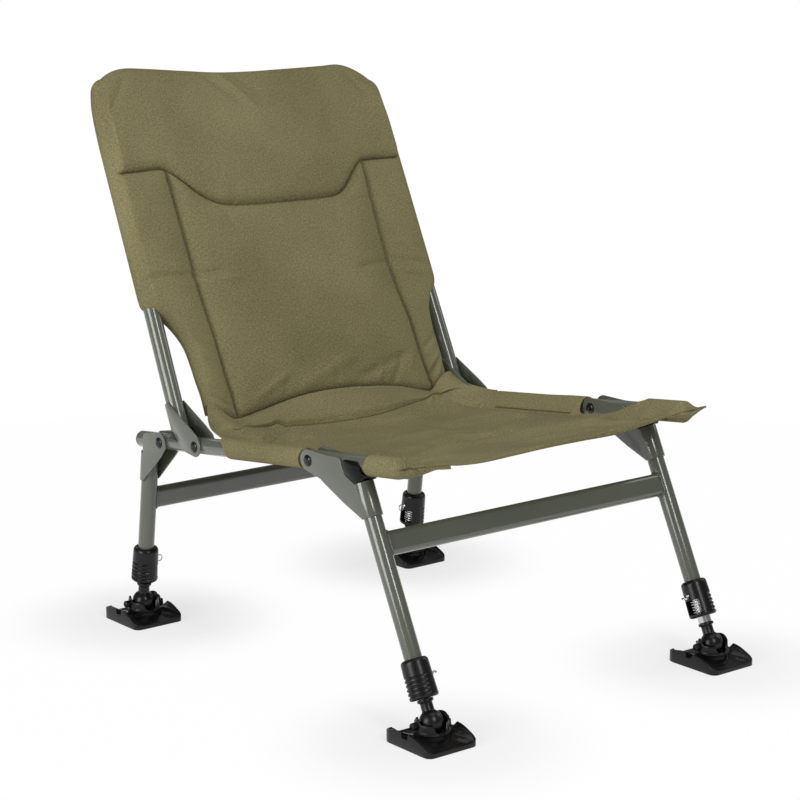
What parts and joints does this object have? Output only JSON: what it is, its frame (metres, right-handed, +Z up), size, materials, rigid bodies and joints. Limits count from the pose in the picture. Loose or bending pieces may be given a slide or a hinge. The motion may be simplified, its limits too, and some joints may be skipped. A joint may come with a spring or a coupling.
{
  "type": "folding chair",
  "caption": "Low folding fishing chair with a fabric sling seat, a padded reclined back, folding tube legs and extending swivel feet.",
  "frame": {"origin": "centre of the footprint on the ground, below the middle of the bounding box", "axes": "+Z up, -Y is the way the chair faces, +X across"},
  "size_m": [0.546, 0.7795, 0.736],
  "materials": {
    "frame_paint": "gloss grey-green paint",
    "black_plastic": "satin moulded",
    "plated_steel": "bright plated",
    "rivet_steel": "black, glossy",
    "olive_cloth": "fine woven olive cloth"
  },
  "bodies": {
    "seat_frame": {"seat_rail_l": "frame_paint", "seat_rail_r": "frame_paint", "rail_cap_rear_l": "frame_paint", "rail_cap_rear_r": "frame_paint", "rail_cap_front_l": "black_plastic", "rail_cap_front_r": "black_plastic", "front_leg_rivet_l": "rivet_steel", "front_leg_rivet_r": "rivet_steel", "back_rivet_l": "rivet_steel", "back_rivet_r": "rivet_steel", "rear_leg_rivet_l": "rivet_steel", "rear_leg_rivet_r": "rivet_steel", "seat_cloth": "olive_cloth"},
    "back": {"back_frame": "frame_paint", "back_pad": "olive_cloth", "back_bracket_l": "frame_paint", "back_bracket_r": "frame_paint", "back_saddle_l": "black_plastic", "back_saddle_r": "black_plastic"},
    "front_legs": {"front_crossbar": "frame_paint", "front_leg_bracket_l": "frame_paint", "front_leg_bracket_r": "frame_paint", "front_leg_saddle_l": "black_plastic", "front_leg_saddle_r": "black_plastic", "front_l_outer_tube": "frame_paint", "front_l_collar": "black_plastic", "front_l_collar_spring": "plated_steel", "front_r_outer_tube": "frame_paint", "front_r_collar": "black_plastic", "front_r_collar_spring": "plated_steel"},
    "rear_legs": {"rear_crossbar": "frame_paint", "rear_leg_bracket_l": "frame_paint", "rear_leg_bracket_r": "frame_paint", "rear_l_outer_tube": "frame_paint", "rear_l_collar": "black_plastic", "rear_l_collar_spring": "plated_steel", "rear_r_outer_tube": "frame_paint", "rear_r_collar": "black_plastic", "rear_r_collar_spring": "plated_steel"},
    "front_l_inner_leg": {"front_l_inner_tube": "plated_steel", "front_l_ball_stem": "black_plastic"},
    "front_l_pin": {"front_l_pull_pin": "plated_steel"},
    "front_l_foot": {"front_l_foot_pad": "black_plastic"},
    "front_r_inner_leg": {"front_r_inner_tube": "plated_steel", "front_r_ball_stem": "black_plastic"},
    "front_r_pin": {"front_r_pull_pin": "plated_steel"},
    "front_r_foot": {"front_r_foot_pad": "black_plastic"},
    "rear_l_inner_leg": {"rear_l_inner_tube": "plated_steel", "rear_l_ball_stem": "black_plastic"},
    "rear_l_pin": {"rear_l_pull_pin": "plated_steel"},
    "rear_l_foot": {"rear_l_foot_pad": "black_plastic"},
    "rear_r_inner_leg": {"rear_r_inner_tube": "plated_steel", "rear_r_ball_stem": "black_plastic"},
    "rear_r_pin": {"rear_r_pull_pin": "plated_steel"},
    "rear_r_foot": {"rear_r_foot_pad": "black_plastic"}
  },
  "joints": [
    {"name": "front_leg_fold", "type": "hinge", "parent": "seat_frame", "child": "front_legs", "pos_m": [0, -0.1272, 0.301], "axis": [1, 0, 0], "range_deg": [0, 98]},
    {"name": "rear_leg_fold", "type": "hinge", "parent": "seat_frame", "child": "rear_legs", "pos_m": [0, 0.2028, 0.2623], "axis": [1, 0, 0], "range_deg": [-93, 0]},
    {"name": "back_fold", "type": "hinge", "parent": "seat_frame", "child": "back", "pos_m": [0, 0.1198, 0.272], "axis": [1, 0, 0], "range_deg": [0, 102]},
    {"name": "front_l_extend", "type": "slide", "parent": "front_legs", "child": "front_l_inner_leg", "axis": [0, 0.44, 0.898], "range_m": [-0.095, 0]},
    {"name": "front_l_pin_pull", "type": "slide", "parent": "front_legs", "child": "front_l_pin", "axis": [1, 0, 0], "range_m": [0, 0.006], "stiffness_N_per_m": 600, "springref_m": -0.003},
    {"name": "front_l_foot_tilt", "type": "hinge", "parent": "front_l_inner_leg", "child": "front_l_foot", "pos_m": [-0.235, -0.3482, 0.0265], "axis": [1, 0, 0], "range_deg": [-18, 18]},
    {"name": "front_r_extend", "type": "slide", "parent": "front_legs", "child": "front_r_inner_leg", "axis": [0, 0.44, 0.898], "range_m": [-0.095, 0]},
    {"name": "front_r_pin_pull", "type": "slide", "parent": "front_legs", "child": "front_r_pin", "axis": [-1, 0, 0], "range_m": [0, 0.006], "stiffness_N_per_m": 600, "springref_m": -0.003},
    {"name": "front_r_foot_tilt", "type": "hinge", "parent": "front_r_inner_leg", "child": "front_r_foot", "pos_m": [0.235, -0.3482, 0.0265], "axis": [1, 0, 0], "range_deg": [-18, 18]},
    {"name": "rear_l_extend", "type": "slide", "parent": "rear_legs", "child": "rear_l_inner_leg", "axis": [0, -0.1289, 0.9917], "range_m": [-0.08, 0]},
    {"name": "rear_l_pin_pull", "type": "slide", "parent": "rear_legs", "child": "rear_l_pin", "axis": [1, 0, 0], "range_m": [0, 0.006], "stiffness_N_per_m": 600, "springref_m": -0.003},
    {"name": "rear_l_foot_tilt", "type": "hinge", "parent": "rear_l_inner_leg", "child": "rear_l_foot", "pos_m": [-0.235, 0.271, 0.0265], "axis": [1, 0, 0], "range_deg": [-18, 18]},
    {"name": "rear_r_extend", "type": "slide", "parent": "rear_legs", "child": "rear_r_inner_leg", "axis": [0, -0.1289, 0.9917], "range_m": [-0.08, 0]},
    {"name": "rear_r_pin_pull", "type": "slide", "parent": "rear_legs", "child": "rear_r_pin", "axis": [-1, 0, 0], "range_m": [0, 0.006], "stiffness_N_per_m": 600, "springref_m": -0.003},
    {"name": "rear_r_foot_tilt", "type": "hinge", "parent": "rear_r_inner_leg", "child": "rear_r_foot", "pos_m": [0.235, 0.271, 0.0265], "axis": [1, 0, 0], "range_deg": [-18, 18]}
  ]
}
